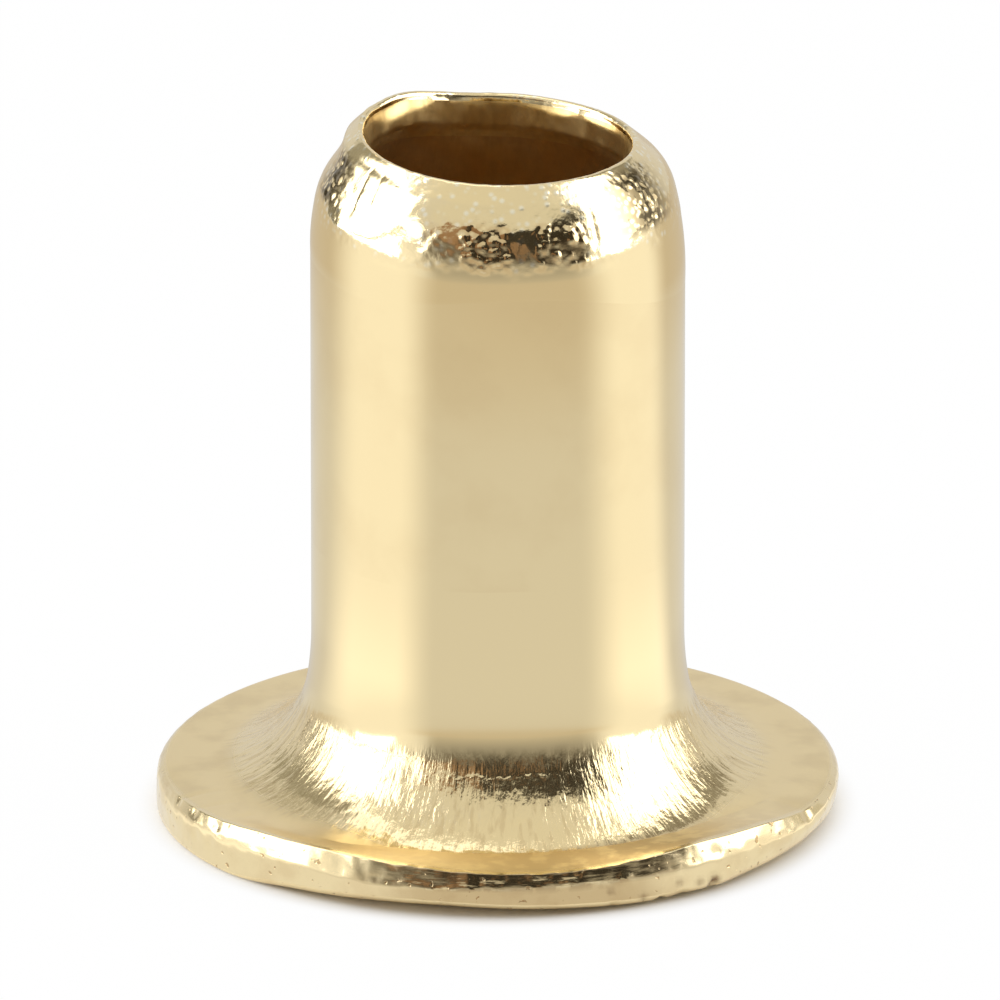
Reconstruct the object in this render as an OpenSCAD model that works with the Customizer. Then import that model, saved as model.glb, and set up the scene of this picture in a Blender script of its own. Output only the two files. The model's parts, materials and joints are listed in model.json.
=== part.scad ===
// Beehive frame eyelet: a one-piece brass tube with a flange at one end and a drawn-in nose at the other.
// It is drawn from flat strip, so one turned wall section gives the whole piece, in millimetres.
// It stands on its flange: the origin is the middle of the flange's foot and +Z runs up to the nose.

/* [Shank] */
// Outer diameter of the straight shank, which is pressed into the drilled hole of a frame bar
shank_d = 3; // [2.6:0.1:3.4]
// Thickness of the drawn wall of the shank and the nose
wall = 0.25; // [0.18:0.01:0.32]
// Overall length, from the foot of the flange to the top of the lip
length = 5.62; // [4.6:0.02:8]

/* [Flange] */
// Outer diameter of the flange, at the widest line of its edge
flange_d = 5.5; // [4.9:0.1:6.5]
// Thickness of the flange
flange_t = 0.38; // [0.34:0.01:0.5]
// Width of the flange's flat ring, from the foot of the flare to the edge
flange_ring = 0.31; // [0.2:0.01:0.4]
// Radius of the gentle curve that leads from the shank into the flare
flare_lead_r = 2.8; // [1.6:0.1:4]
// Angle that the gentle curve turns through before the flare
flare_lead_a = 8; // [4:1:12]

/* [Flange edge] */
// Height of the sheared upper band of the edge
edge_band = 0.14; // [0.1:0.01:0.2]
// How far the upper band leans in at the top
edge_lean = 0.06; // [0.02:0.01:0.1]
// Angle that the lower band tapers in by
edge_taper_a = 10; // [4:1:16]
// Radius of the edge's lower corner
edge_round = 0.09; // [0.04:0.01:0.12]

/* [Nose] */
// How far the lip is drawn in from the side of the shank
lip_in = 0.425; // [0.4:0.005:0.6]
// Radius of the gentle curve that starts the nose
nose_lead_r = 2.6; // [1.5:0.1:4]
// Angle that the gentle curve turns through before the shoulder
nose_lead_a = 14; // [8:1:18]
// Radius of the shoulder
nose_r = 0.6; // [0.4:0.02:0.7]
// Angle that the wall leans in by above the shoulder
nose_a = 50; // [40:1:56]
// Radius of the lip's edge round the pierced hole
lip_round = 0.03; // [0.01:0.005:0.04]

/* [Hidden] */
$fn = 180;
brass = [0.86, 0.73, 0.46];
// Largest gap between an arc of the section and its chords
arc_gap = 0.0005;
// How far a cutting shape runs past the face that it cuts
past = 0.5;

shank_r = shank_d / 2;
bore_r = shank_r - wall;
hole_r = shank_r - lip_in;
flange_r = flange_d / 2;

// The flare fills the way from the shank to the flat ring with two curves, tangent to both and to each other
flare_foot_r = flange_r - edge_lean - flange_ring;
flare_joint_r = shank_r + flare_lead_r * (1 - cos(flare_lead_a));
flare_r = (flare_foot_r - flare_joint_r) / cos(flare_lead_a);
flare_c = [flare_foot_r, flange_t + flare_r];
flare_lead_c = [shank_r + flare_lead_r, flare_c[1] + (flare_lead_r - flare_r) * sin(flare_lead_a)];

// The bell mouth under the flange is one curve, from the bore to a point below the foot of the flare
bell_r = flare_foot_r - bore_r;
bell_c = [flare_foot_r, bell_r];

// The edge of the flange: an upper band that leans in, a lower band that tapers in, and a rounded foot
edge_line_z = flange_t - edge_band;
edge_foot_r = flange_r - edge_line_z * tan(edge_taper_a)
    - edge_round * (1 - sin(edge_taper_a)) / cos(edge_taper_a);
edge_c = [edge_foot_r, edge_round];

// The nose, worked out from its lip down to the shank
lip_c = [hole_r + lip_round, length - lip_round];
lip_joint = polar(lip_c, lip_round, nose_a);
shoulder_r = shank_r - nose_lead_r * (1 - cos(nose_lead_a));
nose_c_r = shoulder_r - nose_r * cos(nose_lead_a);
cone_foot_r = nose_c_r + nose_r * cos(nose_a);
cone_foot_z = lip_joint[1] - (cone_foot_r - lip_joint[0]) / tan(nose_a);
nose_c = [nose_c_r, cone_foot_z - nose_r * sin(nose_a)];
nose_base_z = nose_c[1] + (nose_r - nose_lead_r) * sin(nose_lead_a);
nose_lead_c = [shank_r - nose_lead_r, nose_base_z];

// The inner side of the lip, before the hole is pierced
lip_inside = lip_joint - wall * [cos(nose_a), sin(nose_a)];

// Point at angle a on the circle of radius r round c
function polar(c, r, a) = [c[0] + r * cos(a), c[1] + r * sin(a)];

// Points along the arc from angle a0 to angle a1, and without its first point where it carries on from another
function arc(c, r, a0, a1, from = 0) =
    let (n = ceil(abs(a1 - a0) / (2 * acos(1 - arc_gap / r))))
    [for (i = [from:n]) polar(c, r, a0 + (a1 - a0) * i / n)];

// Half of the wall's section, anticlockwise from the foot of the flange, with the end of the nose still closed in
function wall_outline() = concat(
    arc(edge_c, edge_round, -90, -edge_taper_a),
    [[flange_r, edge_line_z], [flange_r - edge_lean, flange_t]],
    arc(flare_c, flare_r, 270, 180 + flare_lead_a),
    arc(flare_lead_c, flare_lead_r, 180 + flare_lead_a, 180, from = 1),
    arc(nose_lead_c, nose_lead_r, 0, nose_lead_a),
    arc(nose_c, nose_r, nose_lead_a, nose_a, from = 1),
    arc(lip_c, lip_round, nose_a, 180),
    [lip_inside],
    arc(nose_c, nose_r - wall, nose_a, nose_lead_a),
    arc(nose_lead_c, nose_lead_r - wall, nose_lead_a, 0, from = 1),
    arc(bell_c, bell_r, 180, 270)
);

// The hole is pierced straight through the end of the nose
module pierced_hole() {
    translate([0, nose_base_z]) square([hole_r, length - nose_base_z + past]);
}

module eyelet() {
    color(brass)
    rotate_extrude()
    difference() {
        polygon(wall_outline());
        pierced_hole();
    }
}

eyelet();
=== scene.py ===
# %% [markdown]
# An eyelet for the end bar of a beehive frame: a small brass tube that is pressed into a drilled hole, so
# that the wire doesn't cut into the wood. It is drawn from flat strip in one stroke after another: a flange
# at the foot, a straight shank, and a nose that the last punch pierces. The turned form comes from a packed
# model. This lesson keeps its sizes, and gives the piece its worn, struck shape and its polished surface.

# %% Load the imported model
import json
import math

import bpy
import numpy as np
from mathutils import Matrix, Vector, noise


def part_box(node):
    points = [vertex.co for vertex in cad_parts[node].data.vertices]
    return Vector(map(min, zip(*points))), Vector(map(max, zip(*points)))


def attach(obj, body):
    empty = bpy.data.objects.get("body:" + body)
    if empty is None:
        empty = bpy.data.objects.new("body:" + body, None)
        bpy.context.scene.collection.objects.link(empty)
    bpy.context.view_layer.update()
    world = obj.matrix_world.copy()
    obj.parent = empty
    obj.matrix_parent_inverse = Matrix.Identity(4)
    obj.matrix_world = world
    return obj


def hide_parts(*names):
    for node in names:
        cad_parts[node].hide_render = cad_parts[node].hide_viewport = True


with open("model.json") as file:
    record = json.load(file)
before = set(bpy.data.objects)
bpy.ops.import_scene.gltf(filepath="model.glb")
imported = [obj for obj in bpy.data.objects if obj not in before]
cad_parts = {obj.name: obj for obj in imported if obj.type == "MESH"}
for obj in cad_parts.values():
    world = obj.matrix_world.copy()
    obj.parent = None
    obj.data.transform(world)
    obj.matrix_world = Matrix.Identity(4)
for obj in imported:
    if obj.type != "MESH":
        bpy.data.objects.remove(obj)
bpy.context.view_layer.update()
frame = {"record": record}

# %% [markdown]
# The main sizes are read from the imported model, so nothing here can differ from it: the length and the
# flange from its box, and the shank, the bore and the pierced hole from the mounts of its record. The small
# ones that neither gives, such as the bands of the edge, are named where they are first needed. Everything
# is worked out in millimetres and turned into metres where a mesh is made.

# %% Sizes of the eyelet
MM = 0.001


def mount(name):
    return next(m for m in frame["record"]["mounts"] if m["name"] == name)


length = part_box("eyelet")[1].z / MM
flange_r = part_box("eyelet")[1].x / MM
flange_t = mount("flange_seat")["pos_m"][2] / MM
shank_r = mount("shank")["dims"]["r_mm"]
bore_r = mount("bore")["dims"]["r_mm"]
hole_r = mount("nose_hole")["dims"]["r_mm"]
wall = shank_r - bore_r
print(f"length {length:.2f}, flange {flange_r:.2f} x {flange_t:.2f} mm")
print(f"shank {shank_r:.2f}, wall {wall:.2f}, hole {hole_r:.3f} mm")

# %% [markdown]
# The wall of such a piece has one section. It is an outline of straight stretches and tangent arcs, as a
# toolmaker would draw it. An alternative is a Bezier profile with a Screw modifier, but then each ring's
# place is up to the curve's resolution. Here every ring has a number, which the later steps use to shape the
# rings one by one. The nose isn't alike all round: the last punch stood a little askew, so the left shoulder
# is sharp and high, the right one is round, and the front one sits lower. So there are three sections, with
# as many points in each.


# %% Arcs and straight stretches
def polar(centre, radius, angle):
    a = math.radians(angle)
    return (centre[0] + radius * math.cos(a), centre[1] + radius * math.sin(a))


def arc(centre, radius, start, end, steps):
    return [polar(centre, radius, start + (end - start) * i / steps) for i in range(1, steps + 1)]


def line(start, end, steps):
    return [tuple(a + (b - a) * i / steps for a, b in zip(start, end)) for i in range(1, steps + 1)]


def evenly(points, steps):
    """The same path with its points spread evenly along it."""
    path = np.array(points)
    along = np.concatenate([[0], np.cumsum(np.hypot(*np.diff(path, axis=0).T))])
    at = np.linspace(0, along[-1], steps + 1)[1:]
    return [(float(np.interp(d, along, path[:, 0])), float(np.interp(d, along, path[:, 1]))) for d in at]


print("a quarter arc of 4 steps:", [tuple(round(v, 2) for v in p) for p in arc((0, 0), 1, 0, 90, 4)])

# %% The flange and the flare
EDGE_LEAN = 0.06
EDGE_BAND = 0.14
FLANGE_RING = 0.31
FLARE_LEAD_R = 2.8
FLARE_LEAD_A = 8
FOOT_CORNER = 0.03
CREASE_ROUND = 0.05
lead = math.radians(FLARE_LEAD_A)
flare_foot_r = flange_r - EDGE_LEAN - FLANGE_RING
flare_joint_r = shank_r + FLARE_LEAD_R * (1 - math.cos(lead))
flare_r = (flare_foot_r - flare_joint_r) / math.cos(lead)
flare_c = (flare_foot_r, flange_t + flare_r)
flare_lead_c = (shank_r + FLARE_LEAD_R, flare_c[1] + (FLARE_LEAD_R - flare_r) * math.sin(lead))
bell_r = flare_foot_r - bore_r
edge_line_z = flange_t - EDGE_BAND
crease_r = flange_r - EDGE_LEAN
band_a = math.degrees(math.atan2(EDGE_LEAN, EDGE_BAND))


def foot():
    """From the inner rim of the foot to the side of the flange."""
    corner = (flange_r - FOOT_CORNER, FOOT_CORNER)
    return line((flare_foot_r, 0), (corner[0], 0), 4) + arc(corner, FOOT_CORNER, -90, 0, 4)


def edge():
    """Both bands of the sheared edge, and the rounded crease at its top."""
    reach = CREASE_ROUND * math.tan(math.radians((90 - band_a) / 2))
    crease_c = (crease_r - reach, flange_t - CREASE_ROUND)
    points = line((flange_r, FOOT_CORNER), (flange_r, edge_line_z), 7)
    points += line((flange_r, edge_line_z), polar(crease_c, CREASE_ROUND, band_a), 6)
    return points + arc(crease_c, CREASE_ROUND, band_a, 90, 8)


def flange_top():
    return line(edge()[-1], (flare_foot_r, flange_t), 10)


def flare():
    """Both curves of the flare, up to the shank."""
    points = arc(flare_c, flare_r, 270, 180 + FLARE_LEAD_A, 48)
    return points + arc(flare_lead_c, FLARE_LEAD_R, 180 + FLARE_LEAD_A, 180, 8)


print(f"flare radius {flare_r:.3f} mm, bell radius {bell_r:.3f} mm")

# %% The nose, worked out downwards from its lip
NOSE_STEPS = 62
LIP_ROUND = 0.03
PIERCED_DEPTH = 0.31


def nose(lead_r, lead_a, shoulder_r, shoulder_a, cone, lip_z):
    """From the shank's end to the outer side of the lip."""
    lip_joint = polar((hole_r + LIP_ROUND, lip_z - LIP_ROUND), LIP_ROUND, shoulder_a)
    a = math.radians(shoulder_a)
    cone_foot = (lip_joint[0] + cone * math.sin(a), lip_joint[1] - cone * math.cos(a))
    shoulder_c = polar(cone_foot, -shoulder_r, shoulder_a)
    lead_c = polar(polar(shoulder_c, shoulder_r, lead_a), -lead_r, lead_a)
    path = [polar(lead_c, lead_r, 0)]
    path += arc(lead_c, lead_r, 0, lead_a, 60)
    path += arc(shoulder_c, shoulder_r, lead_a, shoulder_a, 60)
    path += line(cone_foot, lip_joint, 20)
    # what the curves leave over is taken up by a slight lean, none at the shank and all at the lip
    over = lead_c[0] + lead_r - shank_r
    base_z = lead_c[1]
    rise = lip_joint[1] - base_z
    return [(r - over * (1 - (z - base_z) / rise), z) for r, z in path]


def inner_nose(face_foot, base_z, steps):
    """From the foot of the pierced face out and down to the bore, one bend that ends upright."""
    bend = (bore_r, face_foot[1] - wall * 0.75)
    end = (bore_r, base_z)
    share = [i / steps for i in range(1, steps + 1)]
    return [tuple((1 - t) ** 2 * a + 2 * t * (1 - t) * b + t * t * c for a, b, c in zip(face_foot, bend, end))
            for t in share]


def wall_section(lead_r, lead_a, shoulder_r, shoulder_a, cone, lip_z):
    """The whole closed section from the inner rim of the foot, as named stretches of the wall."""
    over = nose(lead_r, lead_a, shoulder_r, shoulder_a, cone, lip_z)
    face_foot = (hole_r, lip_z - PIERCED_DEPTH)
    lip = arc((hole_r + LIP_ROUND, lip_z - LIP_ROUND), LIP_ROUND, shoulder_a, 180, 6)
    return {
        "foot": foot(),
        "edge": edge(),
        "ring": flange_top(),
        "flare": flare(),
        "shank": line(flare()[-1], over[0], 4),
        "nose": evenly(over, NOSE_STEPS),
        "lip": lip,
        "pierced": line(lip[-1], face_foot, 12),
        "bore": inner_nose(face_foot, over[0][1], 7) + line((bore_r, over[0][1]), (bore_r, bell_r), 3),
        "bell": arc((flare_foot_r, bell_r), bell_r, 180, 270, 6),
    }


print("pierced face", PIERCED_DEPTH, "mm high")

# %% Three sections: the round right side, the sharp left side and the lower front
ROUND_LIP = length + 0.015
SHARP_LIP = length + 0.10
FRONT_LIP = length - 0.005
# each with the radius and angle of its lead, those of its shoulder, its cone's length and its lip's height
round_side = wall_section(3.05, 15.6, 0.525, 49.9, 0.186, ROUND_LIP)
sharp_side = wall_section(1.71, 31.3, 0.10, 54.6, 0.177, SHARP_LIP)
front_side = wall_section(1.0, 18, 0.85, 37, 0.319, FRONT_LIP)
STRETCHES = list(round_side)
stretch_of = np.array([i for i, name in enumerate(STRETCHES) for point in round_side[name]])
walls = [np.array([point for points in section.values() for point in points])
         for section in (round_side, sharp_side, front_side)]
print(len(walls[0]), "stations in each section:", {name: len(points) for name, points in round_side.items()})

# %% [markdown]
# The section is drawn as by hand: one vertex at the foot, and then one extrusion after another along the
# wall. Each vertex keeps the number of its station in an attribute. The spin copies the attribute, so a
# station's whole ring can be found again after it. A lathe cut from a cylinder would need as many loop cuts,
# and those need a window.


# %% Draw the wall, one extruded vertex after another
def deselect_all():
    bpy.ops.object.select_all(action="DESELECT")


def edit_all(piece):
    """Edit mode on one piece, with all of it selected."""
    deselect_all()
    piece.select_set(True)
    bpy.context.view_layer.objects.active = piece
    bpy.ops.object.mode_set(mode="EDIT")
    bpy.ops.mesh.select_all(action="SELECT")


def draw_wall(name, section):
    deselect_all()
    bpy.ops.mesh.primitive_plane_add(size=MM, location=(section[0][0] * MM, 0, section[0][1] * MM))
    piece = bpy.context.object
    piece.name = piece.data.name = name
    bpy.ops.object.transform_apply(location=True)
    edit_all(piece)
    bpy.ops.mesh.merge(type="CENTER")
    for (r0, z0), (r1, z1) in zip(section[:-1], section[1:]):
        step = ((r1 - r0) * MM, 0, (z1 - z0) * MM)
        bpy.ops.mesh.extrude_vertices_move(TRANSFORM_OT_translate={"value": step})
    bpy.ops.mesh.select_all(action="SELECT")
    bpy.ops.mesh.edge_face_add()
    bpy.ops.mesh.delete(type="ONLY_FACE")
    bpy.ops.object.mode_set(mode="OBJECT")
    return piece


eyelet = draw_wall("eyelet_brass", walls[0].tolist())
print(len(eyelet.data.vertices), "vertices and", len(eyelet.data.edges), "edges in the closed section")

# %% Number the stations
def read(elements, label, size=1, kind=float):
    """One property of all the elements of a mesh, as an array with a row for each."""
    values = np.zeros(len(elements) * size, kind)
    elements.foreach_get(label, values)
    return values.reshape(-1, size) if size > 1 else values


station_numbers = eyelet.data.attributes.new("station", "FLOAT", "POINT")
drawn = read(eyelet.data.vertices, "co", 3)[:, [0, 2]] / MM
nearest = [int(np.argmin(((walls[0] - point) ** 2).sum(axis=1))) for point in drawn]
station_numbers.data.foreach_set("value", np.array(nearest, np.float32))
print("stations numbered from", min(nearest), "to", max(nearest), "with", len(set(nearest)), "values")

# %% [markdown]
# The spin turns the section into an eighth of the piece, and three copies, each turned by twice as much,
# make it whole. A spin all the way round works too, but it takes far longer. With 512 steps round no facet is
# longer than 0.04 mm, fine enough for the dents and the pebbled nose to be real geometry. The copies meet, so
# their doubles are merged, and only then are the normals made to point outwards.

# %% Spin the wall round the axis
EIGHTH = math.tau / 8
STEPS = 64
MERGE = 1e-7
edit_all(eyelet)
bpy.ops.mesh.spin(steps=STEPS, angle=EIGHTH, center=(0, 0, 0), axis=(0, 0, 1))
for turn in (EIGHTH, 2 * EIGHTH, 4 * EIGHTH):
    bpy.ops.mesh.select_all(action="SELECT")
    bpy.ops.mesh.duplicate()
    bpy.ops.transform.rotate(value=turn, orient_axis="Z", center_override=(0, 0, 0))
bpy.ops.mesh.select_all(action="SELECT")
bpy.ops.mesh.remove_doubles(threshold=MERGE)
bpy.ops.mesh.normals_make_consistent(inside=False)
bpy.ops.object.mode_set(mode="OBJECT")
mesh = eyelet.data
print(len(mesh.vertices), "vertices,", len(mesh.polygons), "faces,", 2 * len(mesh.polygons), "triangles")

# %% [markdown]
# So far the piece is as true as a lathe would turn it. The real one was struck by punches and tumbled in a
# drum. Its lip stands up at the back left, the sides of the nose differ, the flange's edge is wavy, rolled
# over at its far sides, and full at its lower left corner. A Lattice could do this roughly. Here each vertex
# is set from its station and from its azimuth, which is 0 at the front, 90 at the right and 180 at the back.

# %% Where each vertex is on the piece
count = len(mesh.vertices)
station = np.round(read(mesh.attributes["station"].data, "value")).astype(int)
spun = read(mesh.vertices, "co", 3)
azimuth = np.degrees(np.arctan2(spun[:, 0], -spun[:, 1]))
sin_a = np.sin(np.radians(azimuth))
cos_a = np.cos(np.radians(azimuth))
stretch = stretch_of[station]


def on(*names):
    """1 for each vertex on the named stretches of the wall, 0 elsewhere."""
    return np.isin(stretch, [STRETCHES.index(name) for name in names]).astype(float)


def turn_from(centre):
    """Angle from an azimuth, between -180 and 180 degrees."""
    return (azimuth - centre + 180) % 360 - 180


def swell(centre, width):
    """1 at an azimuth, falling off smoothly on both sides within about its width."""
    return np.exp(-(turn_from(centre) / width) ** 2)


def side(centre, power=1):
    """1 at an azimuth and 0 opposite to it."""
    return ((1 + np.cos(np.radians(turn_from(centre)))) / 2) ** power


def ease(value, low, high):
    """0 below low, 1 above high and a smooth rise between them."""
    t = np.clip((value - low) / (high - low), 0, 1)
    return t * t * (3 - 2 * t)


def between(value, low_0, low_1, high_1, high_0):
    """0 outside low_0 and high_0, 1 from low_1 to high_1, smooth between them."""
    return ease(value, low_0, low_1) * (1 - ease(value, high_1, high_0))


print("share of the vertices on the nose:", round(float(on("nose").mean()), 3))

# %% The nose: sharp shoulder on the left, dog-eared lip at the back left
SHARP_SIDE = 265
DOG_EAR = 238
DOG_EAR_RISE = 0.136
# small waves of the lip, each with its azimuth, width and rise
LIP_WAVES = ((192, 20, -0.042), (226, 14, 0.02), (252, 9, 0.02), (160, 22, -0.018))
EAR_HOLLOW = 0.065
EAR_HOLLOW_Z = 5.52
FACET = 0.045
sharp = side(SHARP_SIDE, 2)
in_front = swell(5, 48) * (1 - sharp)
plain = 1 - sharp - in_front
shares = (plain, sharp, in_front)
radius = sum(share * section[station, 0] for share, section in zip(shares, walls))
height = sum(share * section[station, 1] for share, section in zip(shares, walls))
lip_now = plain * ROUND_LIP + sharp * SHARP_LIP + in_front * FRONT_LIP
lip_wanted = length - 0.01 + DOG_EAR_RISE * side(DOG_EAR, 2)
for at, width, rise in LIP_WAVES:
    lip_wanted += rise * swell(at, width)
nose_foot = round_side["nose"][0][1]
up_the_nose = np.clip((height - nose_foot) / (lip_now - nose_foot), 0, 1)
height += (lip_wanted - lip_now) * up_the_nose ** 1.3 * on("nose", "lip", "pierced", "bore")
radius -= EAR_HOLLOW * np.exp(-((height - EAR_HOLLOW_Z) / 0.17) ** 2) * side(258, 6) * on("nose")
on_facet = between(azimuth, -79, -57, -57, -32) * between(lip_wanted - height, 0.02, 0.10, 0.35, 0.55)
radius -= FACET * on_facet * on("nose")
print(f"lip from {lip_wanted.min():.3f} to {lip_wanted.max():.3f} mm")

# %% The rim of the hole, rounded inwards most at the back left and right
RIM = 0.045
rim = RIM * (0.12 + 0.88 * (swell(224, 24) + swell(138, 26)))
round_the_rim = np.stack([sin_a, cos_a, np.zeros(count)], axis=1)
rim_depth = np.full(count, 0.1)
on_face = np.nonzero(on("pierced"))[0]
rim_depth[on_face] = [0.10 + 0.09 * noise.noise(Vector(p) * 3.7) for p in round_the_rim[on_face]]
rim_depth += 0.10 * swell(234, 13)
radius -= on("pierced") * rim * between(lip_wanted - height, 0.02, rim_depth, 0.25, 0.31)
print(f"rim up to {rim.max():.3f} mm wide")

# %% The flare: wider in front, and dished at its foot behind the ring
DISH_FROM = 20
DISH_BEND = 57
WIDE_R = 1.217
TIGHT_R = 0.30
flare_turn = np.degrees(np.arctan2(flare_c[1] - height, flare_c[0] - radius))
flare_turn = np.where(on("flare") > 0, np.clip(flare_turn, 0, 90), np.where(on("ring") > 0, 90, 0))


def sweep(start, end, r):
    """How far an arc of radius r leads outwards and upwards, from one slope to another."""
    a = np.radians(np.clip(flare_turn, start, end))
    b = math.radians(start)
    return np.stack([r * (math.cos(b) - np.cos(a)), r * (math.sin(b) - np.sin(a))])


dish_way = sweep(DISH_FROM, DISH_BEND, WIDE_R) + sweep(DISH_BEND, 90, TIGHT_R) - sweep(DISH_FROM, 90, flare_r)
dish_out, dish_up = on("flare") * dish_way
dish_out += on("ring") * np.clip((crease_r - radius) / FLANGE_RING, 0, 1) * dish_out.min()
dish = between(azimuth, -40, -16, 46, 70)
print(f"the dish's floor is {-dish_up.min():.3f} mm below the ring")

# %% The crease, tight in front, and the lower corner, full on the left and cut back elsewhere
TIGHTEN = 0.72
TAPER = math.tan(math.radians(10))
CORNER_R = 0.09
far_round = ease(azimuth, 61, 76) + ease(-azimuth, 70, 92)
tighten = TIGHTEN * on("edge") * (height > edge_line_z + 0.01) * (1 - far_round)
tighten *= np.hypot(radius - crease_r, height - flange_t) < CREASE_ROUND * 1.1
radius += tighten * (crease_r - radius)
height += tighten * (flange_t - height)
full_corner = between(azimuth, -130, -110, -52, -36)
in_corner = np.clip(1 - height / CORNER_R, 0, 1)
cut_back = np.clip(edge_line_z - height, 0, None) * TAPER + CORNER_R * (1 - np.sqrt(1 - in_corner ** 2))
outer = on("foot", "edge") * ease(radius, flare_foot_r, flange_r - 0.02)
radius -= (0.95 - 0.9 * full_corner) * cut_back * outer
print(int((tighten > 0).sum()), "vertices in the crease")

# %% The far sides, where the upper corner is rolled over instead
ROLL_R = 0.14
up_the_band = np.clip((height - edge_line_z) / EDGE_BAND, 0, 1)
over_the_ring = np.clip((radius - flare_foot_r) / (crease_r - flare_foot_r), 0, 1)
square = radius + EDGE_LEAN * (on("edge") * up_the_band + on("ring") * over_the_ring)
roll_out = square - (flange_r - ROLL_R)
roll_up = height - (flange_t - ROLL_R)
rolled = on("edge", "ring") * (roll_out > 0) * (roll_up > 0)
pull = rolled * (1 - ROLL_R / np.maximum(np.hypot(roll_out, roll_up), ROLL_R))
radius += far_round * (square - radius - roll_out * pull)
height -= far_round * roll_up * pull
print(int((pull * far_round > 0).sum()), "vertices in the rolled corner")

# %% The waves of the crease and of the foot, each at an azimuth
CREASE_WAVE = (
    (-110, 0.0), (-86, -0.01), (-78, -0.03), (-70, -0.02), (-57, 0.016), (-45, 0.062), (-30, 0.066),
    (-17, 0.028), (-5, -0.001), (7, -0.014), (18, -0.002), (27, 0.031), (37, 0.067), (51, 0.041),
    (64, -0.037), (76, -0.03), (92, 0.0),
)
FOOT_LIFT = (
    (-60, 0.0), (-46, 0.005), (-36, 0.03), (-28, 0.047), (-20, 0.066), (-10, 0.077), (-3, 0.065),
    (7, 0.045), (14, 0.036), (21, 0.021), (28, 0.014), (36, 0.033), (45, 0.036), (55, 0.05), (70, 0.06),
    (90, 0.03), (120, 0.0),
)
SOFT_LINE = 0.0066
FOOT_BULGE = 0.035


def round_the_edge(table):
    """The table's heights at each vertex's azimuth, smoothed over a few degrees."""
    grid = np.arange(-200, 201)
    values = np.interp(grid, *np.array(table).T)
    weights = np.hanning(11)
    return np.interp(azimuth, grid, np.convolve(values, weights / weights.sum(), mode="same"))


from_line = on("edge") * np.clip(1 - np.abs(height - edge_line_z) / EDGE_BAND, 0, 1)
line_lift = 0.036 * swell(8, 17) + 0.016 * swell(18, 9) - 0.03 * swell(-20, 9)
height += from_line * line_lift
radius -= from_line * np.clip(line_lift, 0, None) * EDGE_LEAN / EDGE_BAND
soft_corner = ease(-azimuth, 24, 34) + ease(azimuth, 36, 46)
radius -= on("edge") * soft_corner * SOFT_LINE * np.clip(1 - np.abs(height - edge_line_z) / 0.065, 0, 1) ** 2
wave = round_the_edge(CREASE_WAVE)
near_crease = on("edge") * ease(height, 0.08, flange_t) + on("ring") * ease(radius, flare_foot_r, crease_r)
height += wave * near_crease
low_edge = on("foot", "edge") * (1 - ease(height, 0.02, 0.24)) * ease(radius, flare_foot_r, crease_r)
height += round_the_edge(FOOT_LIFT) * low_edge + dish * dish_up
bulge = FOOT_BULGE * swell(40, 5) * on("foot", "edge") * (1 - ease(height, 0.10, 0.24))
radius += bulge + dish * dish_out
print(f"crease from {(height[on('ring') > 0]).min():.3f} to {(height[on('ring') > 0]).max():.3f} mm")


# %% Set the vertices there
def settle(points):
    mesh.vertices.foreach_set("co", (points * MM).ravel())
    mesh.update()


place = np.stack([radius * sin_a, -radius * cos_a, height], axis=1)
settle(place)
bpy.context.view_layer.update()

# %% [markdown]
# The relief comes next: pebbles where the last punch struck the nose, a ragged step where the flare was
# pressed, score marks on the pierced face, and nicks along the flange's edge. A bump in the material would
# shade like them, but the outline would stay smooth. So all but the finest grain is moved here, along each
# vertex's normal. Where stains, rub marks and painted shade lie is kept with the mesh, as masks.


# %% Noise on the mesh
def rough(points, size, seed):
    """Smooth noise between about -1 and 1 at points in millimetres."""
    shift = Vector((seed * 7.3, seed * 3.1, seed * 5.7))
    return np.array([noise.noise(Vector(p) / size + shift) for p in points])


def cobbles(points, size, seed):
    """Rounded lumps, 1 at the middle of each and 0 between them."""
    shift = Vector((seed * 2.9, seed * 8.3, seed * 4.1))
    near = np.array([noise.voronoi(Vector(p) / size + shift)[0][0] for p in points])
    return np.clip(1 - (near / 0.62) ** 2, 0, 1)


def where(mask):
    return np.nonzero(mask > 0.001)[0]


def spread(at, values):
    """The values at some of the vertices, and 0 at all others."""
    whole = np.zeros(count)
    whole[at] = values
    return whole


relief = np.zeros(count)
print("relief is added to", count, "vertices")

# %% The struck nose, pebbled in two clusters in front and one on each side, and folded
STRUCK_TO = 0.585
PEBBLE = 0.085
PEBBLE_DEPTH = 0.0115
FOLD_DEPTH = 0.0035
below_lip = lip_wanted - height
near_nose = where(on("nose", "lip") * (below_lip < 0.9))
tatters = rough(place[near_nose], 0.16, 1) * 0.05 + rough(place[near_nose], 0.05, 2) * 0.025
ragged = spread(near_nose, tatters)
struck = on("nose", "lip") * ease(STRUCK_TO + 0.04 * side(SHARP_SIDE, 2) + ragged - below_lip, -0.05, 0.05)
hit = where(struck)
lumps = spread(hit, cobbles(place[hit], PEBBLE, 3))
dimples = spread(hit, rough(place[hit], 0.11, 4))
wobbly = azimuth + 30 * ragged
clusters = between(wobbly, -14, -10, 3, 6) + between(wobbly, 11, 14, 28, 33)
clusters += 0.30 * between(azimuth, -30, -22, 0, 4) + 0.15 * swell(8, 4)
at_sides = swell(-77, 9) * ease(below_lip, 0.08, 0.16) + swell(59, 12) * ease(below_lip, 0.02, 0.1)
at_sides *= 1 - ease(below_lip, 0.42, 0.5)
clusters = np.clip(clusters * ease(below_lip + ragged, 0.23, 0.30) + at_sides, 0, 1)
relief += struck * (0.003 + lumps * (0.0007 + PEBBLE_DEPTH * clusters))
relief += struck * dimples * (0.0008 + 0.003 * clusters)
folds = swell(-58, 0.9) + swell(-50, 0.8) + 0.6 * swell(34, 0.8)
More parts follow.
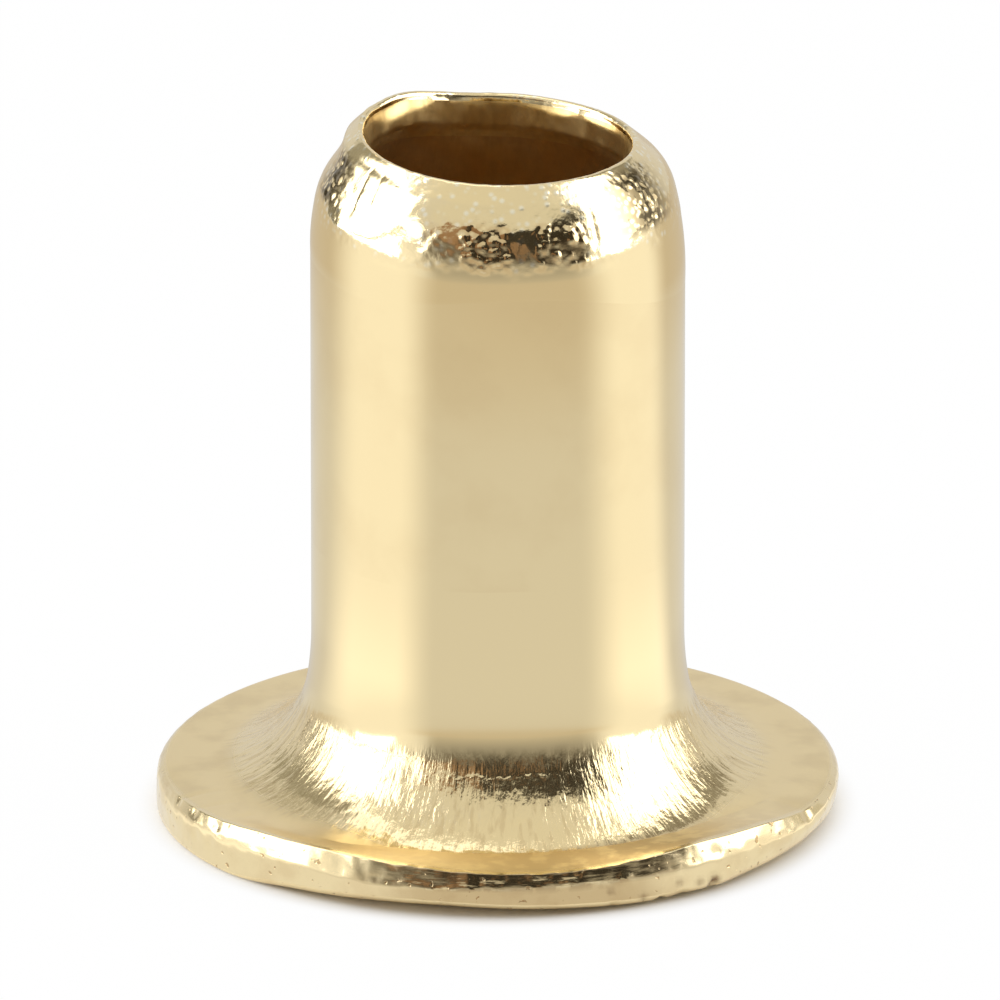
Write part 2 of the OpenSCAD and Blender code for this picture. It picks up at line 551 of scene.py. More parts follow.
relief -= FOLD_DEPTH * struck * folds * between(below_lip, 0.04, 0.1, 0.42, 0.5)
print(len(hit), "vertices are struck")

# %% The pressed flare, with a ragged step and a fold above it
STEP_Z = 0.80
STEP_DEPTH = 0.004
FOLD_Z = 0.905
pressed = where(on("flare"))
blotches = spread(pressed, rough(place[pressed] * (1, 1, 0.2), 0.12, 5))
above_step = ease(height - STEP_Z - 0.03 * blotches, -0.014, 0.014)
relief += on("flare") * swell(3, 38) * STEP_DEPTH * ease(height, 0.6, 0.8) * (1 - above_step)
wander = 0.012 * blotches + 0.010 * np.sin(np.radians(6 * azimuth))
relief -= on("flare") * 0.008 * swell(-40, 26) * np.exp(-np.abs(height - FOLD_Z - wander) / 0.09)
print(len(pressed), "vertices on the flare")

# %% Rub marks down the flare
along_wall = np.stack([sin_a * 1.6, cos_a * 1.6, height * 0.25], axis=1)
rubbed = on("flare") * between(flare_turn, 14, 25, 72, 84)
last_rub = between(flare_turn, 48, 56, 74, 86) * (swell(-24, 18) + 0.45 * swell(16, 22))
lines = spread(pressed, rough(along_wall[pressed], 0.075, 6) + 0.6 * rough(along_wall[pressed], 0.05, 7))
dabs = spread(pressed, rough(along_wall[pressed] * (1, 1, 3), 0.10, 11))
chips = spread(pressed, rough(place[pressed] * (1, 1, 2.5), 0.07, 12))
relief += (0.0024 * lines + 0.0030 * dabs) * rubbed + 0.006 * chips * last_rub
print(int((rubbed > 0).sum()), "vertices are rubbed")

# %% The sheared edge and the pierced face
sheared = where(on("edge", "foot"))
tears = spread(sheared, rough(place[sheared] * (1, 1, 1.8), 0.13, 8) + 0.5 * rough(place[sheared], 0.05, 9))
unwaved = height - wave * near_crease
break_line = edge_line_z + 0.02 * np.sin(np.radians(2 * azimuth + 60)) + 0.018 * tears
burr = np.exp(-((unwaved - break_line) / 0.02) ** 2)
upper_band = ease(unwaved, edge_line_z - 0.02, edge_line_z + 0.02)
relief += on("edge") * (0.009 * burr * swell(0, 62) * (0.4 + tears) + 0.003 * tears)
relief += on("edge") * upper_band * swell(2, 27) * 0.012 * tears
pierced = where(on("pierced", "lip"))
scores = spread(pierced, rough(along_wall[pierced] * (1, 1, 3), 0.10, 10))
relief += (0.0035 * on("pierced") + 0.0025 * on("lip")) * scores
print(len(sheared), "vertices on the edge,", len(pierced), "on the pierced face")

# %% Nicks and dents, each with its azimuth, height, size and depth in millimetres, and stains
DENTS = (
    (-71, 0.345, 0.030, 0.016),
    (-64, 0.350, 0.028, 0.018),
    (-56, 0.350, 0.034, 0.018),
    (-62, 0.200, 0.050, 0.010),
    (-57, 0.210, 0.040, 0.008),
    (40, 0.340, 0.035, 0.014),
    (39, 0.085, 0.035, 0.050),
    (29, 0.030, 0.030, 0.025),
    (20, 0.060, 0.025, 0.012),
    (33, 0.070, 0.050, 0.010),
    (66, 0.300, 0.070, 0.012),
)
# the stains have a strength from 0 to 1 instead of a depth
STAINS = (
    (39.0, 0.105, 0.042, 1.0),
    (36.0, 0.130, 0.030, 0.45),
    (32.0, 0.165, 0.030, 0.4),
    (25.3, 0.095, 0.028, 0.5),
    (19.3, 0.185, 0.022, 0.5),
)


def spot(at, z, size):
    """1 at an azimuth and a height, falling off smoothly within about its size."""
    away = np.hypot(np.radians(turn_from(at)) * radius, height - z)
    return np.exp(-(away / size) ** 2)


for at, z, size, depth in DENTS:
    relief -= on("edge", "foot", "ring") * depth * spot(at, z, size)
stained = np.zeros(count)
for at, z, size, strength in STAINS:
    stained = np.maximum(stained, on("edge", "foot") * strength * np.clip(1.8 * spot(at, z, size), 0, 1))
print(len(DENTS), "dents and", len(STAINS), "stains")

# %% Move the vertices along their normals
settle(place + read(mesh.vertex_normals, "vector", 3) * relief[:, None])
print("relief from", round(relief.min(), 4), "to", round(relief.max(), 4), "mm")

# %% Keep the masks for the finish
MASKS = {
    "struck": struck,
    "cobbled": struck * clusters,
    # where the hollows on the nose's sides get painted shade
    "shaded_sides": struck * at_sides,
    "plateau": struck * (1 - 0.85 * ease(below_lip, 0.12, 0.22)) * (1 - ease(below_lip, 0.26, 0.34)),
    "rubbed": rubbed,
    "marked": on("flare") * swell(2, 26),
    "foot_ring": on("ring") + on("flare") * ease(flare_turn, 66, 82),
    # painted shade on the ring and the flare's foot, most in the dish and towards the front right
    "ring_shade": (on("ring") + on("flare") * ease(flare_turn, 54, 66)) * (0.35 * dish + 0.65 * swell(22, 22)),
    # the broken band under the crease carries both its crumbs and painted shade
    "broken_and_shaded": on("edge") * between(azimuth, -24, -14, 26, 40)
    * ease(unwaved, edge_line_z - 0.01, edge_line_z + 0.02),
    "stained": stained,
}
for name, mask in MASKS.items():
    mesh.attributes.new(name, "FLOAT", "POINT").data.foreach_set("value", mask.astype(np.float32))
print("masks:", list(MASKS))

# %% Smooth shading, with the flange's crease kept sharp
deselect_all()
eyelet.select_set(True)
bpy.ops.object.shade_smooth_by_angle(angle=math.radians(38))
print("sharp edges:", sum(edge.value for edge in mesh.attributes["sharp_edge"].data))

# %% [markdown]
# The finish is brass. A metal has no colour of its own but that of what it mirrors, times its tint. So the
# tint is one warm value, stained in patches, and the look comes mostly from the relief, from the fine grain
# and from what stands round the piece. In a few places the tint also holds painted highlights and painted
# shade, said where they lie. What more than one material needs is a node group, which puts out a height in
# thousandths of a millimetre or a mask.


# %% Helpers for nodes
def is_socket(value):
    return isinstance(value, bpy.types.NodeSocket)


def put(socket, value):
    """Sets a socket to a value, or links it to another socket."""
    if is_socket(value):
        socket.id_data.links.new(value, socket)
    else:
        socket.default_value = value


def calc(operation, *values):
    """A sum in the tree that the sockets among its values belong to."""
    node = next(filter(is_socket, values)).id_data.nodes.new("ShaderNodeMath")
    node.operation = operation
    for socket, value in zip(node.inputs, values):
        put(socket, value)
    return node.outputs[0]


def times(first, *others):
    for other in others:
        first = calc("MULTIPLY", first, other)
    return first


def plus(first, *others):
    for other in others:
        first = calc("ADD", first, other)
    return first


def minus(first, second):
    return calc("SUBTRACT", first, second)


def larger(first, second):
    return calc("MAXIMUM", first, second)


def span(value, low, high):
    """0 where a value is under low, 1 above high."""
    node = value.id_data.nodes.new("ShaderNodeMapRange")
    node.interpolation_type = "SMOOTHSTEP"
    for label, given_value in (("Value", value), ("From Min", low), ("From Max", high)):
        put(node.inputs[label], given_value)
    return node.outputs["Result"]


print("the sums are ready")

# %% Helpers for places on the piece
def on_piece(tree):
    """Object coordinates in millimetres."""
    coordinates = tree.nodes.new("ShaderNodeTexCoord")
    mapping = tree.nodes.new("ShaderNodeMapping")
    mapping.inputs["Scale"].default_value = (1 / MM,) * 3
    put(mapping.inputs["Vector"], coordinates.outputs["Object"])
    return mapping.outputs["Vector"]


def axes(tree):
    """The same, one by one, and the distance from the axis."""
    split = tree.nodes.new("ShaderNodeSeparateXYZ")
    put(split.inputs[0], on_piece(tree))
    x, y, z = split.outputs
    return x, y, z, calc("SQRT", plus(times(x, x), times(y, y)))


def grain(vector, size, detail=3.0):
    """Noise from 0 to 1 whose features are about as wide as size, a number or a socket."""
    node = vector.id_data.nodes.new("ShaderNodeTexNoise")
    node.inputs["Detail"].default_value = detail
    put(node.inputs["Vector"], vector)
    put(node.inputs["Scale"], calc("DIVIDE", 1.0, size) if is_socket(size) else 1 / size)
    return node.outputs["Fac"]


def mask_of(tree, name):
    node = tree.nodes.new("ShaderNodeAttribute")
    node.attribute_name = name
    return node.outputs["Fac"]


def colour_mix(mask, first, second):
    """The first colour where the mask is 0, the second where it is 1."""
    node = mask.id_data.nodes.new("ShaderNodeMix")
    node.data_type = "RGBA"
    for index, value in ((0, mask), (6, first), (7, second)):
        put(node.inputs[index], (*value, 1) if isinstance(value, tuple) else value)
    return node.outputs[2]


print("coordinates, grain, masks and colours are ready")

# %% Helpers for node groups
def new_group(name, inputs, outputs):
    """An empty group: its tree, its given values and its results."""
    tree = bpy.data.node_groups.new(name, "ShaderNodeTree")
    for in_out, labels in (("INPUT", inputs), ("OUTPUT", outputs)):
        for label in labels:
            tree.interface.new_socket(label, in_out=in_out, socket_type="NodeSocketFloat")
    return tree, tree.nodes.new("NodeGroupInput").outputs, tree.nodes.new("NodeGroupOutput").inputs


def use(tree, group, **values):
    node = tree.nodes.new("ShaderNodeGroup")
    node.node_tree = group
    for label, value in values.items():
        put(node.inputs[label], value)
    return node.outputs


print("groups can be made and used")

# %% Group: rub marks along the wall
rub_marks, given, result = new_group("rub marks", ("Width", "Stretch", "Depth"), ("Height",))
x, y, z, r = axes(rub_marks)
joined = rub_marks.nodes.new("ShaderNodeCombineXYZ")
put(joined.inputs[0], times(calc("DIVIDE", x, r), shank_r))
put(joined.inputs[1], times(calc("DIVIDE", y, r), shank_r))
put(joined.inputs[2], times(minus(z, r), given["Stretch"]))
streaks = grain(joined.outputs[0], given["Width"])
put(result["Height"], times(minus(streaks, 0.5), given["Depth"]))
print("rub marks:", len(rub_marks.nodes), "nodes")

# %% Group: pebbles
pebbles, given, result = new_group("pebbles", ("Size", "Spread", "Depth"), ("Height", "Hollows"))
cells = pebbles.nodes.new("ShaderNodeTexVoronoi")
cells.feature = "F1"
put(cells.inputs["Vector"], on_piece(pebbles))
put(cells.inputs["Scale"], calc("DIVIDE", 1.0, given["Size"]))
lump = span(cells.outputs["Distance"], given["Spread"], 0.05)
put(result["Height"], times(lump, given["Depth"]))
put(result["Hollows"], minus(1.0, lump))
print("pebbles:", len(pebbles.nodes), "nodes")

# %% Group: a ragged ridge round the flare
ridge, given, result = new_group("ridge", ("Level", "Width", "Wander", "Depth"), ("Height",))
wander = minus(grain(on_piece(ridge), 0.14), 0.5)
level = plus(given["Level"], times(wander, given["Wander"]))
away = calc("ABSOLUTE", minus(axes(ridge)[2], level))
patchy = span(grain(on_piece(ridge), 0.06), 0.38, 0.66)
put(result["Height"], times(span(away, given["Width"], 0.0), patchy, given["Depth"]))
print("ridge:", len(ridge.nodes), "nodes")

# %% Group: pits and specks
pits, given, result = new_group("pits", ("Size", "Cover", "Depth"), ("Height", "Specks"))
spots = grain(on_piece(pits), given["Size"], 1.5)
edge_of = minus(0.80, times(given["Cover"], 0.5))
speck = span(spots, edge_of, plus(edge_of, 0.06))
put(result["Specks"], speck)
put(result["Height"], times(speck, given["Depth"], -1.0))
print("pits:", len(pits.nodes), "nodes")

# %% Group: tarnish in soft patches
tarnish, given, result = new_group("tarnish", ("Size", "Amount"), ("Mask",))
clouds = grain(on_piece(tarnish), given["Size"], 4.0)
put(result["Mask"], times(span(clouds, 0.42, 0.68), given["Amount"]))
print("tarnish:", len(tarnish.nodes), "nodes")

# %% The brass shader
BRASS = (0.94, 0.775, 0.455)
BROWN = (0.62, 0.42, 0.20)
UMBER_BRASS = (0.66, 0.50, 0.27)
GOLDEN = (0.96, 0.72, 0.32)
RED_BROWN = (0.88, 0.62, 0.28)
# a painted highlight, laid on the bumps of the nose's plateau
HIGHLIGHT_TINT = (1.0, 0.95, 0.76)
# painted shade under the flange's crease in front
CREASE_SHADE = (0.34, 0.25, 0.14)
SOOT = (0.20, 0.11, 0.05)
# painted shade, nearly black, for the hollows on the nose's sides
HOLLOW_SHADE = (0.075, 0.06, 0.03)
MICRON = 0.001 * MM


def brass_material(name):
    """A metal with its own shader, and its tree and shader to work on."""
    material = bpy.data.materials.new(name)
    material.use_nodes = True
    shader = material.node_tree.nodes["Principled BSDF"]
    shader.inputs["Metallic"].default_value = 1.0
    return material, material.node_tree, shader


def tint(shader, mask, base=BRASS, stain=BROWN):
    """Base colour between the clean metal and a second colour, a stain and in some places a painted highlight
    or painted shade, which can be the base of the next layer.
    """
    coloured = colour_mix(mask, base, stain)
    put(shader.inputs["Base Color"], coloured)
    return coloured


def bump(shader, height_here):
    """Feeds a height in thousandths of a millimetre to the shader's normal."""
    node = shader.id_data.nodes.new("ShaderNodeBump")
    for label, value in (("Strength", 1.0), ("Distance", MICRON), ("Height", height_here)):
        put(node.inputs[label], value)
    put(shader.inputs["Normal"], node.outputs["Normal"])


def gloss(shader, clean, mask, rougher):
    """Roughness of the clean metal, and how much rougher it is under a mask."""
    put(shader.inputs["Roughness"], plus(clean, times(mask, rougher)))


def layered(tree, *layers):
    """Faint draw lines under a sum of heights, each times the mask beside it."""
    total = use(tree, rub_marks, Width=0.16, Stretch=0.02, Depth=0.5)["Height"]
    for layer, mask in layers:
        total = plus(total, times(layer, mask))
    return total


print("brass", BRASS)

# %% Drawn brass: the shank, smooth and only faintly lined
drawn_brass, tree, shader = brass_material("drawn_brass")
bump(shader, layered(tree))
stain = use(tree, tarnish, Size=0.7, Amount=0.10)["Mask"]
tint(shader, stain)
gloss(shader, 0.10, stain, 0.4)
print("drawn_brass:", len(tree.nodes), "nodes")

# %% Struck brass: the nose, pebbled where the punch hit it, with painted highlights on its plateau's bumps and painted shade in the hollows on its sides
struck_brass, tree, shader = brass_material("struck_brass")
struck_here = mask_of(tree, "struck")
plateau_here = mask_of(tree, "plateau")
cobbled_here = mask_of(tree, "cobbled")
stones = use(tree, pebbles, Size=0.055, Spread=0.75, Depth=1.6)
bumps = use(tree, pebbles, Size=0.075, Spread=0.46, Depth=1.5)
skin = times(grain(on_piece(tree), 0.07), 2.2)
relief_here = ((stones["Height"], cobbled_here), (bumps["Height"], plateau_here), (skin, struck_here))
bump(shader, layered(tree, *relief_here))
coloured = tint(shader, times(stones["Hollows"], cobbled_here, 0.6))
# painted highlights: the tint is lightened on the tops of the plateau's bumps
painted_highlights = times(minus(1.0, bumps["Hollows"]), minus(struck_here, cobbled_here), 0.9)
coloured = tint(shader, painted_highlights, base=coloured, stain=HIGHLIGHT_TINT)
# painted shade: the hollows on the nose's sides are tinted nearly black
hollow_shade = times(span(stones["Hollows"], 0.15, 0.75), mask_of(tree, "shaded_sides"), 0.9)
tint(shader, hollow_shade, base=coloured, stain=HOLLOW_SHADE)
gloss(shader, 0.10, plateau_here, 0.06)
print("struck_brass:", len(tree.nodes), "nodes")

# %% Pressed brass: the flare, rubbed along the wall, and the flange's flat top, with painted shade in patches on the ring
pressed_brass, tree, shader = brass_material("pressed_brass")
rubbed_here = mask_of(tree, "rubbed")
ring_here = mask_of(tree, "foot_ring")
sharp_marks = use(tree, rub_marks, Width=0.026, Stretch=0.10, Depth=5.0)["Height"]
soft_marks = use(tree, rub_marks, Width=0.05, Stretch=0.45, Depth=5.5)["Height"]
press_mark = use(tree, ridge, Level=0.805, Width=0.024, Wander=0.12, Depth=2.8)["Height"]
relief_here = ((sharp_marks, rubbed_here), (soft_marks, rubbed_here), (press_mark, mask_of(tree, "marked")))
bump(shader, layered(tree, *relief_here))
stain = use(tree, tarnish, Size=0.4, Amount=0.30)["Mask"]
wear_and_shade = use(tree, rub_marks, Width=0.045, Stretch=0.16, Depth=1.0)["Height"]
wear_and_shade = times(span(wear_and_shade, -0.02, 0.16), rubbed_here, 0.42)
# painted shade in patches, joined with the rub wear into one tint
shade_patches = span(grain(on_piece(tree), 0.16), 0.30, 0.56)
wear_and_shade = larger(wear_and_shade, times(shade_patches, mask_of(tree, "ring_shade"), 0.9))
tint(shader, larger(wear_and_shade, times(stain, ring_here)), stain=UMBER_BRASS)
gloss(shader, plus(0.10, times(rubbed_here, 0.05)), ring_here, 0.28)
print("pressed_brass:", len(tree.nodes), "nodes")

# %% Sheared brass: the flange's edge, crumbled where its upper band broke and darkened there with painted shade, and stained
sheared_brass, tree, shader = brass_material("sheared_brass")
broken_shaded_here = mask_of(tree, "broken_and_shaded")
holes = use(tree, pits, Size=0.06, Cover=0.24, Depth=3.0)
shear_marks = use(tree, rub_marks, Width=0.06, Stretch=0.5, Depth=1.2)["Height"]
crumbs = use(tree, rub_marks, Width=0.16, Stretch=1.8, Depth=8.0)["Height"]
bump(shader, plus(holes["Height"], shear_marks, times(crumbs, broken_shaded_here)))
stain = use(tree, tarnish, Size=0.3, Amount=0.22)["Mask"]
coloured = tint(shader, larger(stain, times(holes["Specks"], 0.9)))
# painted shade, in grainy patches, on the broken band under the crease
crease_shade = times(span(grain(on_piece(tree), 0.12), 0.32, 0.52), broken_shaded_here, 0.55)
coloured = tint(shader, crease_shade, base=coloured, stain=CREASE_SHADE)
tint(shader, mask_of(tree, "stained"), base=coloured, stain=SOOT)
gloss(shader, 0.15, stain, 0.10)
print("sheared_brass:", len(tree.nodes), "nodes")

# %% Torn brass: the pierced face
torn_brass, tree, shader = brass_material("torn_brass")
bump(shader, use(tree, rub_marks, Width=0.05, Stretch=0.6, Depth=1.6)["Height"])
stain = use(tree, tarnish, Size=0.25, Amount=0.5)["Mask"]
tint(shader, stain, base=GOLDEN)
gloss(shader, 0.34, stain, 0.3)
print("torn_brass:", len(tree.nodes), "nodes")

# %% Bore brass: the inside, duller and browner, partly from tarnish and partly as painted shade
bore_brass, tree, shader = brass_material("bore_brass")
bump(shader, use(tree, rub_marks, Width=0.06, Stretch=0.15, Depth=2.0)["Height"])
stain = use(tree, tarnish, Size=0.4, Amount=0.6)["Mask"]
# the browner, darker base is partly tarnish and partly painted shade inside the tube
tint(shader, stain, base=RED_BROWN)
gloss(shader, 0.36, stain, 0.2)
print("bore_brass:", len(tree.nodes), "nodes")

# %% Give each stretch of the wall its material
for material in (drawn_brass, sheared_brass, bore_brass, torn_brass, struck_brass, pressed_brass):
    mesh.materials.append(material)
NUMBER_ON = {"shank": 0, "foot": 1, "edge": 1, "bore": 2, "bell": 2, "pierced": 3, "nose": 4, "lip": 4,
             "flare": 5, "ring": 5}
of_vertex = np.array([NUMBER_ON[name] for name in STRETCHES])[stretch]
corners = read(mesh.loops, "vertex_index", kind=int)
first_corners = read(mesh.polygons, "loop_start", kind=int)
of_face = np.maximum.reduceat(of_vertex[corners], first_corners)
mesh.polygons.foreach_set("material_index", of_face)
mesh.update()
print({m.name: int((of_face == i).sum()) for i, m in enumerate(mesh.materials)})

# %% Join it to the frame
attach(eyelet, "root")
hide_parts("eyelet")

# %% [markdown]
# A polished metal shows its room. The room here is a studio table with a plain white floor and a large soft
# box on each side. Grey gaps beside the boxes draw the darker lines at the sides of the shank. A grey
# surround is dark in front, like a cloth round the lens, and draws the dark bands on the nose, the flare and
# the edge. A pale lid and two bright sheets hang above and behind, and a graded card lies on the floor. None
# of these shows to the camera, so every view has the same white ground. Near the piece the floor keeps its
# own light and shadow under the white, so the piece stands on it and doesn't float.


# %% Helpers for the studio
# a sheet that shines more than this is sampled as a lamp
LAMP_FROM = 1.5


def staged(name):
    """The object that was just added, and named."""
    made = bpy.context.object
    made.name = name
    return made


def plane(name, size, place_mm, turn=(0, 0, 0)):
    deselect_all()
    bpy.ops.mesh.primitive_plane_add(size=1, location=[v * MM for v in place_mm], rotation=turn)
    bpy.context.object.scale = (size[0] * MM, size[1] * MM, 1)
    bpy.ops.object.transform_apply(location=False, rotation=False, scale=True)
    return staged(name)


def disc(name, radius, z):
    deselect_all()
    bpy.ops.mesh.primitive_circle_add(vertices=96, radius=radius * MM, fill_type="NGON",
                                      location=(0, 0, z * MM))
    return staged(name)


def glow(name, colour, strength=1.0):
    material = bpy.data.materials.new(name)
    material.use_nodes = True
    tree = material.node_tree
    tree.nodes.remove(tree.nodes["Principled BSDF"])
    light = tree.nodes.new("ShaderNodeEmission")
    light.inputs["Color"].default_value = (*colour, 1)
    light.inputs["Strength"].default_value = strength
    put(tree.nodes["Material Output"].inputs["Surface"], light.outputs[0])
    if strength <= LAMP_FROM:
        material.cycles.emission_sampling = "NONE"
    return material


def hang(piece, material):
    """Gives a piece of the studio its glow, and hides it from the camera."""
    piece.data.materials.append(material)
    piece.visible_camera = False


def sheet(name, azimuth_at, distance, width, low, high, colour, strength=1.0, lean=0.0):
    """An upright sheet that faces the piece, from one height to another, and leaning sideways by an angle."""
    a = math.radians(azimuth_at)
    at = (distance * math.sin(a), -distance * math.cos(a), (low + high) / 2)
    made = plane(name, (width, high - low), at, (math.pi / 2, math.radians(lean), a))
    hang(made, glow(name, colour, strength))


print("studio helpers are ready")

# %% Soft boxes, and the gaps beside them
WHITE = (1, 1, 1)
BLACK = (0.045, 0.04, 0.032)
GREY = (0.71, 0.71, 0.715)
sheet("softbox_left", -89, 60, 61, 4, 92, WHITE, 2.8)
sheet("softbox_left_low", -56.5, 61, 20, 20, 40, WHITE, 2.4)
sheet("softbox_left_top", -109, 60, 16, 92, 130, WHITE, 2.8)
sheet("softbox_right", 91, 60, 54, 7, 92, WHITE, 2.8)
sheet("softbox_right_top", 106, 60, 16, 92, 125, WHITE, 2.8)
sheet("rim_left", -80, 57, 68, 17.2, 19.2, BLACK, lean=-14.7)
sheet("gap_left_low", -121, 62, 13, 3, 24, (0.25, 0.24, 0.21))
sheet("gap_left_high", -134, 62, 24, 22, 92, (0.33, 0.32, 0.28))
sheet("gap_right_low", 125, 62, 12, 0, 26, (0.60, 0.58, 0.52))
sheet("gap_right_high", 132, 62, 30, 32, 105, (0.28, 0.265, 0.23))
sheet("gap_back_left", -158, 62, 26, 40, 66, (0.45, 0.43, 0.38))
print("2 soft boxes in 3 and 2 parts, a rim and 5 gaps")

# %% Helpers for the colours of the round pieces
def around(tree):
    """Azimuth in degrees, distance from the axis and height in millimetres."""
    x, y, z, r = axes(tree)
    return calc("DEGREES", calc("ARCTAN2", x, times(y, -1.0))), r, z


def window(value, low_0, low_1, high_1, high_0):
    """0 outside low_0 and high_0, 1 from low_1 to high_1."""
    return times(span(value, low_0, low_1), span(value, high_0, high_1))


def before_boxes(turn):
    """1 at the azimuths of the soft boxes, 0 in front and behind."""
    left = window(turn, -124.0, -88.0, -60.0, -34.0)
    return larger(left, window(turn, 46.0, 78.0, 102.0, 124.0))


def ramp(value, stops):
    """A level that runs through the stops, each with its place from 0 to 1 and its colour."""
    node = value.id_data.nodes.new("ShaderNodeValToRGB")
    put(node.inputs["Fac"], value)
    elements = node.color_ramp.elements
    while len(elements) < len(stops):
        elements.new(0.5)
    for element, (place_at, colour) in zip(elements, stops):
        element.position = place_at
        element.color = (*colour, 1)
    return node.outputs["Color"]


print("helpers for round pieces are ready")

# %% The surround and the lid
SURROUND_R = 80
SURROUND_H = 170
UNDER_FLOOR = 0.1
deselect_all()
bpy.ops.mesh.primitive_cylinder_add(vertices=96, radius=SURROUND_R * MM, depth=SURROUND_H * MM,
                                    end_fill_type="NOTHING",
                                    location=(0, 0, (SURROUND_H / 2 - UNDER_FLOOR) * MM))
bpy.ops.object.transform_apply(location=True)
surround_material = glow("surround", GREY)
hang(staged("surround"), surround_material)
hang(disc("lid", SURROUND_R, SURROUND_H - 1), glow("lid", (0.76, 0.745, 0.69)))
print("surround of", SURROUND_R, "mm round the axis, and its lid")

# %% Grading of the surround: painted pools of the soft boxes' light at the foot of each, and dark in front
UMBER = (0.36, 0.235, 0.15)
LOW_TO_HIGH = (
    (0.00, (0.58, 0.55, 0.50)),
    (0.28, (0.38, 0.37, 0.35)),
    (0.49, (0.23, 0.22, 0.20)),
    (0.71, (0.12, 0.11, 0.10)),
    (1.00, (0.06, 0.05, 0.045)),
)
tree = surround_material.node_tree
turn, _, z = around(tree)
brown_patch = times(window(turn, 10.0, 14.0, 20.0, 24.0), window(z, 22.0, 30.0, 52.0, 62.0), 0.8)
brown = larger(span(turn, -9.0, -22.0), brown_patch)
cloth = colour_mix(brown, BLACK, UMBER)
front_level = ramp(calc("DIVIDE", z, 50.0), LOW_TO_HIGH)
front_level = colour_mix(span(z, 24.0, 48.0), front_level, cloth)
top = plus(z, times(span(turn, -8.0, -20.0), 19.0))
top = plus(top, times(span(turn, -24.0, -42.0), 14.0))
front_level = colour_mix(span(top, 80.0, 91.0), front_level, (0.74, 0.73, 0.69))
level = colour_mix(window(turn, -48.0, -36.0, 58.0, 66.0), GREY, front_level)
# painted light: a pale pool at the foot of each soft box
pale = times(before_boxes(turn), span(z, 27.0, 16.0))
level = colour_mix(pale, level, (1.05, 1.05, 1.05))
put(tree.nodes["Emission"].inputs["Color"], level)
print("surround:", len(tree.nodes), "nodes")

# %% The two sheets above and behind
sheet_light = glow("sheet_behind", WHITE, 1.5)
for name, size, place_mm in (("left", (87, 130), (-31.5, 64, 166)), ("right", (63, 59), (43.5, 99.5, 166))):
    hang(plane("sheet_behind_" + name, size, place_mm), sheet_light)
print("two sheets above and behind")

# %% The graded card on the floor, which only the metal sees
CARD_R = 81
CARD_HOLE_R = 2.80
card = disc("graded_card", CARD_R, 0)
edit_all(card)
bpy.ops.mesh.inset(thickness=(CARD_R - CARD_HOLE_R) * MM)
bpy.ops.mesh.delete(type="FACE")
bpy.ops.object.mode_set(mode="OBJECT")
card.location.z = 0.02 * MM
card_material = glow("graded_card", WHITE)
hang(card, card_material)
card.visible_diffuse = card.visible_shadow = card.visible_transmission = False
print(len(card.data.polygons), "faces in the card")

# %% Its grading, painted light and shadow: pools of the soft boxes' light towards them, grey in front and behind and darker close to the piece as a painted shadow, paler close to the piece's sides
# the darker stops close to the piece are a painted shadow on the card
NEAR_TO_FAR = (
    (0.20, (0.60, 0.55, 0.50)),
    (0.26, (0.66, 0.65, 0.64)),
    (0.34, (0.73, 0.735, 0.745)),
    (0.72, GREY),
    (0.82, (0.67, 0.64, 0.60)),
    (0.95, (0.63, 0.58, 0.51)),
)
tree = card_material.node_tree
turn, out, _ = around(tree)
greys = ramp(calc("DIVIDE", out, 16.0), NEAR_TO_FAR)
# brighter than white towards the boxes and near the piece: painted pools of the soft boxes' light
near_white = colour_mix(span(out, 8.0, 4.8), (1.04, 1.04, 1.04), (1.22, 1.22, 1.22))
graded = colour_mix(before_boxes(turn), greys, near_white)
left = window(turn, -150.0, -100.0, -26.0, -12.0)
beside = larger(left, window(turn, 24.0, 36.0, 100.0, 150.0))
graded = colour_mix(times(beside, span(out, 4.4, 3.4)), graded, (0.86, 0.86, 0.86))
put(tree.nodes["Emission"].inputs["Color"], graded)
print("graded card:", len(tree.nodes), "nodes")

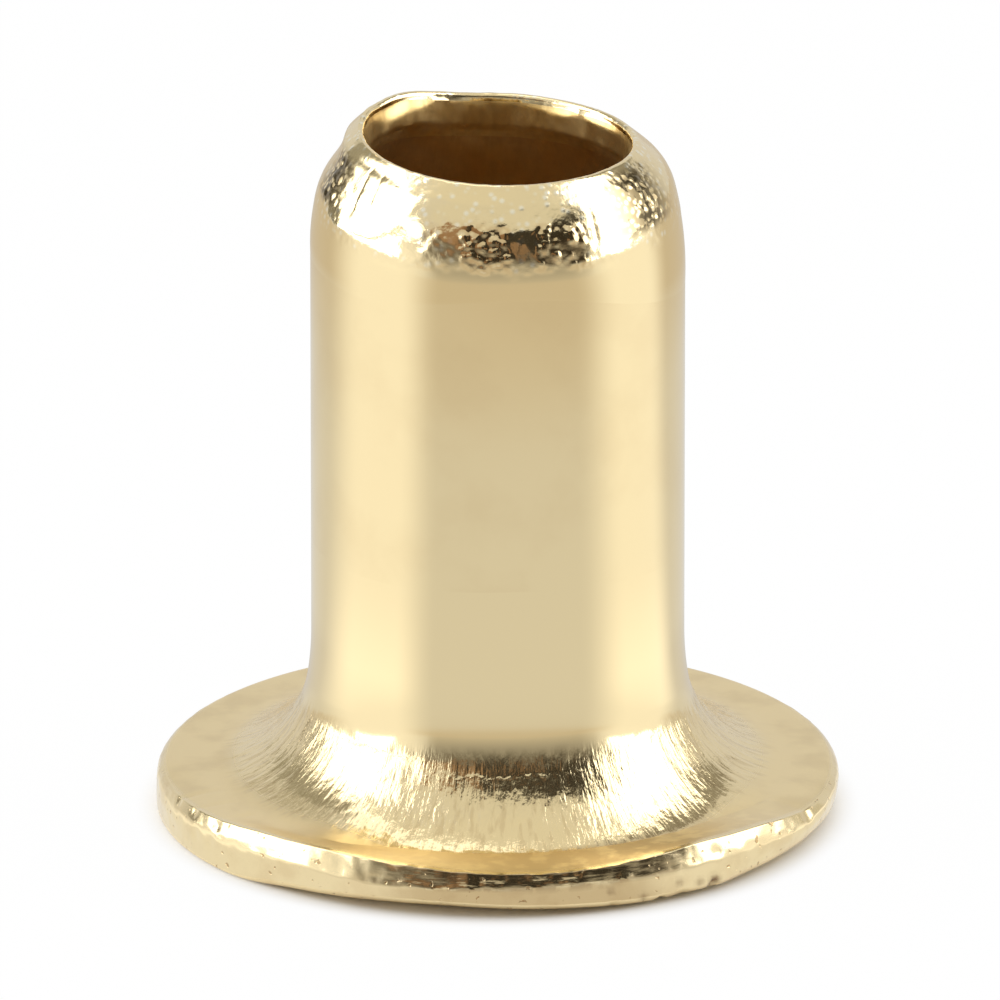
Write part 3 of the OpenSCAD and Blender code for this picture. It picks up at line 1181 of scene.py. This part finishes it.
# %% The floor and the world
floor = plane("floor", (1200, 1200), (0, 0, -0.005))
floor_material = bpy.data.materials.new("floor_white")
floor_material.use_nodes = True
tree = floor_material.node_tree
shader = tree.nodes["Principled BSDF"]
shader.inputs["Base Color"].default_value = (0.9, 0.9, 0.9, 1)
shader.inputs["Roughness"].default_value = 0.6
paths = tree.nodes.new("ShaderNodeLightPath")
seen = larger(paths.outputs["Is Camera Ray"], paths.outputs["Is Glossy Ray"])
seen = larger(seen, paths.outputs["Is Transmission Ray"])
white = tree.nodes.new("ShaderNodeEmission")
blend = tree.nodes.new("ShaderNodeMixShader")
_, out, _ = around(tree)
put(blend.inputs[0], times(seen, span(out, 2.60, 2.94), 0.98))
put(blend.inputs[1], shader.outputs[0])
put(blend.inputs[2], white.outputs[0])
put(tree.nodes["Material Output"].inputs["Surface"], blend.outputs[0])
floor.data.materials.append(floor_material)
world = bpy.data.worlds.new("white_room")
bpy.context.scene.world = world
world.use_nodes = True
background = world.node_tree.nodes["Background"].inputs
background["Color"].default_value = (1, 1, 1, 1)
background["Strength"].default_value = 1.0
print("floor and world are white")

# %% [markdown]
# The camera stands far off with a long lens, as for a macro picture cropped to the piece: 200 millimetres
# away and 19.4 degrees above the floor. The picture is 8 millimetres wide there.

# %% Camera
ELEVATION = math.radians(19.4)
DISTANCE = 200
VIEW_WIDTH = 8.026
AIM = Vector((0.018, 0, 2.58))
camera_data = bpy.data.cameras.new("camera")
camera = bpy.data.objects.new("camera", camera_data)
bpy.context.scene.collection.objects.link(camera)
back = Vector((0, -math.cos(ELEVATION), math.sin(ELEVATION)))
camera.location = (AIM + back * DISTANCE) * MM
camera.rotation_mode = "QUATERNION"
camera.rotation_quaternion = (-back).to_track_quat("-Z", "Y")
camera_data.lens = camera_data.sensor_width * DISTANCE / VIEW_WIDTH
camera_data.clip_start = 1 * MM
camera_data.clip_end = 5000 * MM
bpy.context.scene.camera = camera
bpy.context.scene.view_settings.view_transform = "Standard"
print(f"lens {camera_data.lens:.0f} mm")
